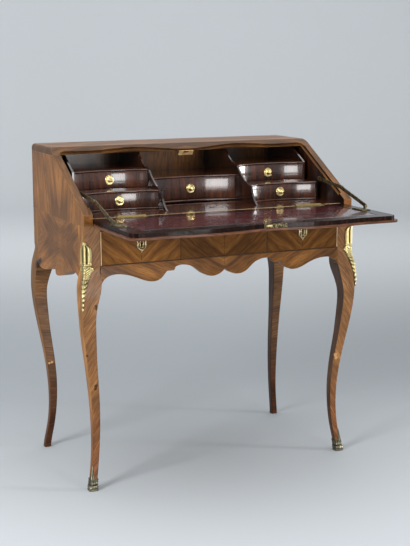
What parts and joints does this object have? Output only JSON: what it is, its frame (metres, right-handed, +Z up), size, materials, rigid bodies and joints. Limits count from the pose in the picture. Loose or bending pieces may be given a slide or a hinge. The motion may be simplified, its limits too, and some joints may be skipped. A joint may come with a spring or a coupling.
{
  "type": "slant-front desk",
  "caption": "Slant-front writing desk on cabriole legs: a fall that opens on folding stays to a leather writing surface, with a fitted interior, drawers and a covered well.",
  "frame": {"origin": "on the floor under the middle of the desk's box with the fall open", "axes": "+Z up, +Y to the back, +X to the right as the sitter sees it"},
  "size_m": [0.8258, 0.7239, 0.898],
  "materials": {
    "tulipwood_veneer": "french polished",
    "dark_veneer": "high polish",
    "dark_interior_wood": "high polish",
    "oak": "plain",
    "writing_leather": "waxed",
    "gilt_bronze": "gilt",
    "brass": "polished",
    "dark_iron": "oiled"
  },
  "bodies": {
    "case": {"back_left_leg": "tulipwood_veneer", "back_panel": "oak", "back_right_leg": "tulipwood_veneer", "centre_frieze_panel": "tulipwood_veneer", "drawer_runners": "oak", "frieze_dividers": "oak", "front_apron": "tulipwood_veneer", "front_left_leg": "tulipwood_veneer", "front_right_leg": "tulipwood_veneer", "front_sabots": "gilt_bronze", "front_top_rail": "tulipwood_veneer", "gradin_dividers": "dark_interior_wood", "gradin_shelves": "dark_interior_wood", "hinge_case_leaves": "brass", "hinge_pins": "brass", "interior_floor": "dark_interior_wood", "left_corner_mount": "gilt_bronze", "left_gable": "tulipwood_veneer", "rear_rail": "oak", "right_corner_mount": "gilt_bronze", "right_gable": "tulipwood_veneer", "side_partitions": "dark_interior_wood", "stay_pivots": "dark_iron", "strike_plate": "brass", "top_board": "tulipwood_veneer", "well_box": "oak"},
    "centre_drawer": {"centre_drawer_box": "oak", "centre_drawer_front": "dark_interior_wood", "centre_drawer_knob": "brass"},
    "fall": {"hinge_lid_leaves": "brass", "lid_lock": "brass", "lid_panel": "dark_veneer", "stay_feet": "dark_iron", "writing_leather": "writing_leather"},
    "left_frieze_drawer": {"left_frieze_drawer_box": "oak", "left_frieze_drawer_escutcheon": "gilt_bronze", "left_frieze_drawer_front": "tulipwood_veneer", "left_frieze_drawer_lock": "dark_iron"},
    "left_lower_drawer": {"left_lower_drawer_box": "oak", "left_lower_drawer_front": "dark_interior_wood", "left_lower_drawer_knob": "brass"},
    "left_stay_front_link": {"left_stay_front_link": "dark_iron"},
    "left_stay_rear_link": {"left_stay_rear_link": "dark_iron"},
    "left_upper_drawer": {"left_upper_drawer_box": "oak", "left_upper_drawer_front": "dark_interior_wood", "left_upper_drawer_knob": "brass"},
    "fall_bolt": {"lid_lock_bolt": "brass"},
    "right_frieze_drawer": {"right_frieze_drawer_box": "oak", "right_frieze_drawer_escutcheon": "gilt_bronze", "right_frieze_drawer_front": "tulipwood_veneer", "right_frieze_drawer_lock": "dark_iron"},
    "right_lower_drawer": {"right_lower_drawer_box": "oak", "right_lower_drawer_front": "dark_interior_wood", "right_lower_drawer_knob": "brass"},
    "right_stay_front_link": {"right_stay_front_link": "dark_iron"},
    "right_stay_rear_link": {"right_stay_rear_link": "dark_iron"},
    "right_upper_drawer": {"right_upper_drawer_box": "oak", "right_upper_drawer_front": "dark_interior_wood", "right_upper_drawer_knob": "brass"},
    "well_cover": {"well_cover": "dark_interior_wood"}
  },
  "joints": [
    {"name": "fall_hinge", "type": "hinge", "parent": "case", "child": "fall", "pos_m": [0, -0.06743, 0.733], "axis": [1, 0, 0], "range_deg": [-150.57, 0]},
    {"name": "left_stay_gable_pivot", "type": "hinge", "parent": "case", "child": "left_stay_rear_link", "pos_m": [0, 0.05544, 0.79198], "axis": [1, 0, 0], "range_deg": [-160.2, 0.1]},
    {"name": "left_stay_foot_pivot", "type": "hinge", "parent": "fall", "child": "left_stay_front_link", "pos_m": [0, -0.20344, 0.742], "axis": [1, 0, 0], "range_deg": [-0.1, 160.2]},
    {"name": "right_stay_gable_pivot", "type": "hinge", "parent": "case", "child": "right_stay_rear_link", "pos_m": [0, 0.05544, 0.79198], "axis": [1, 0, 0], "range_deg": [-160.2, 0.1]},
    {"name": "right_stay_foot_pivot", "type": "hinge", "parent": "fall", "child": "right_stay_front_link", "pos_m": [0, -0.20344, 0.742], "axis": [1, 0, 0], "range_deg": [-0.1, 160.2]},
    {"name": "fall_bolt_slide", "type": "slide", "parent": "fall", "child": "fall_bolt", "axis": [0, -1, 0], "range_m": [0, 0.01]},
    {"name": "well_cover_slide", "type": "slide", "parent": "case", "child": "well_cover", "axis": [0, 1, 0], "range_m": [0, 0.125]},
    {"name": "left_frieze_drawer_slide", "type": "slide", "parent": "case", "child": "left_frieze_drawer", "axis": [0, -1, 0], "range_m": [0, 0.22]},
    {"name": "left_lower_drawer_slide", "type": "slide", "parent": "case", "child": "left_lower_drawer", "axis": [0, -1, 0], "range_m": [0, 0.15]},
    {"name": "left_upper_drawer_slide", "type": "slide", "parent": "case", "child": "left_upper_drawer", "axis": [0, -1, 0], "range_m": [0, 0.12]},
    {"name": "right_frieze_drawer_slide", "type": "slide", "parent": "case", "child": "right_frieze_drawer", "axis": [0, -1, 0], "range_m": [0, 0.22]},
    {"name": "right_lower_drawer_slide", "type": "slide", "parent": "case", "child": "right_lower_drawer", "axis": [0, -1, 0], "range_m": [0, 0.15]},
    {"name": "right_upper_drawer_slide", "type": "slide", "parent": "case", "child": "right_upper_drawer", "axis": [0, -1, 0], "range_m": [0, 0.12]},
    {"name": "centre_drawer_slide", "type": "slide", "parent": "case", "child": "centre_drawer", "axis": [0, -1, 0], "range_m": [0, 0.12]}
  ],
  "couplings": [
    {"joint": "left_stay_gable_pivot", "follows": "fall_hinge", "ratio": 1.0632},
    {"joint": "left_stay_foot_pivot", "follows": "fall_hinge", "ratio": -1.0632},
    {"joint": "right_stay_gable_pivot", "follows": "fall_hinge", "ratio": 1.0632},
    {"joint": "right_stay_foot_pivot", "follows": "fall_hinge", "ratio": -1.0632}
  ]
}
